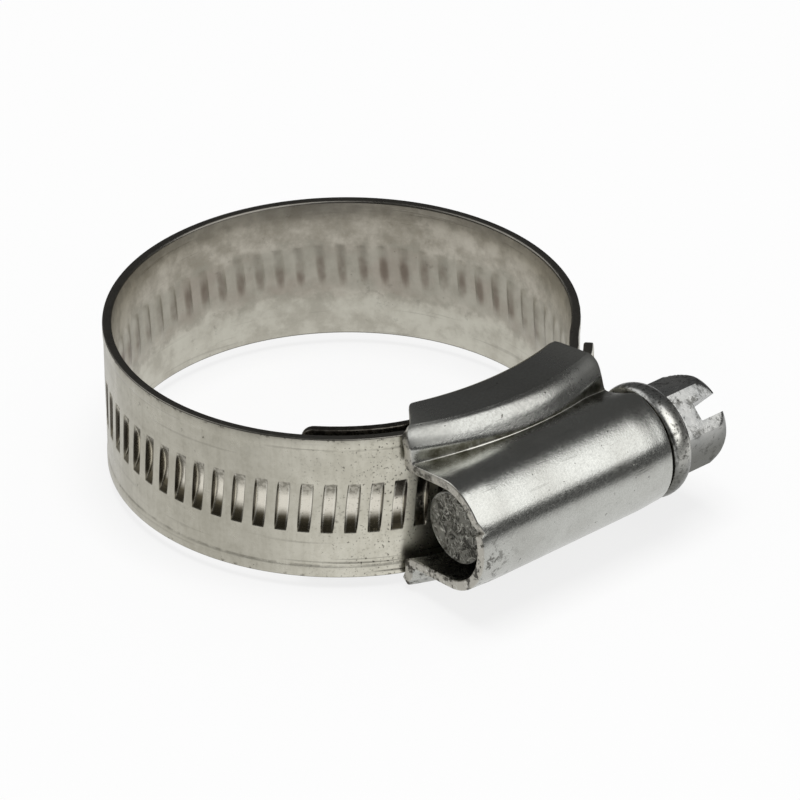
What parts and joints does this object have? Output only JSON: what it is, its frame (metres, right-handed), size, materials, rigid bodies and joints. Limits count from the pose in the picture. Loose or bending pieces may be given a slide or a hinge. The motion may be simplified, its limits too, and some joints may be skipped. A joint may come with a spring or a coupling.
{
  "type": "worm drive hose clamp",
  "caption": "Steel band hose clamp: a slotted strip wound into a hoop, drawn through a pressed housing by a worm screw with a slotted hex head.",
  "frame": {"origin": "bottom centre of the bounding box, on the surface that the clamp lies on", "axes": "+Z along the hoop's axis, +X along the worm screw towards its hex head, -Y from the hoop's centre towards the housing"},
  "size_m": [0.0392, 0.0476, 0.015],
  "materials": {
    "band_steel": "rolled strip, satin, slightly stained",
    "housing_steel": "pressed sheet, bright, fine grain",
    "screw_steel": "plated, dull grey, worn"
  },
  "bodies": {
    "clamp": {"band": "band_steel", "housing": "housing_steel"},
    "screw": {"worm_screw": "screw_steel"}
  },
  "joints": [
    {"name": "worm_turn", "type": "hinge", "parent": "clamp", "child": "screw", "pos_m": [0, -0.0189, 0.0076], "axis": [-1, 0, 0], "range_deg": [-3276, 4716], "deforming": ["band"]}
  ]
}
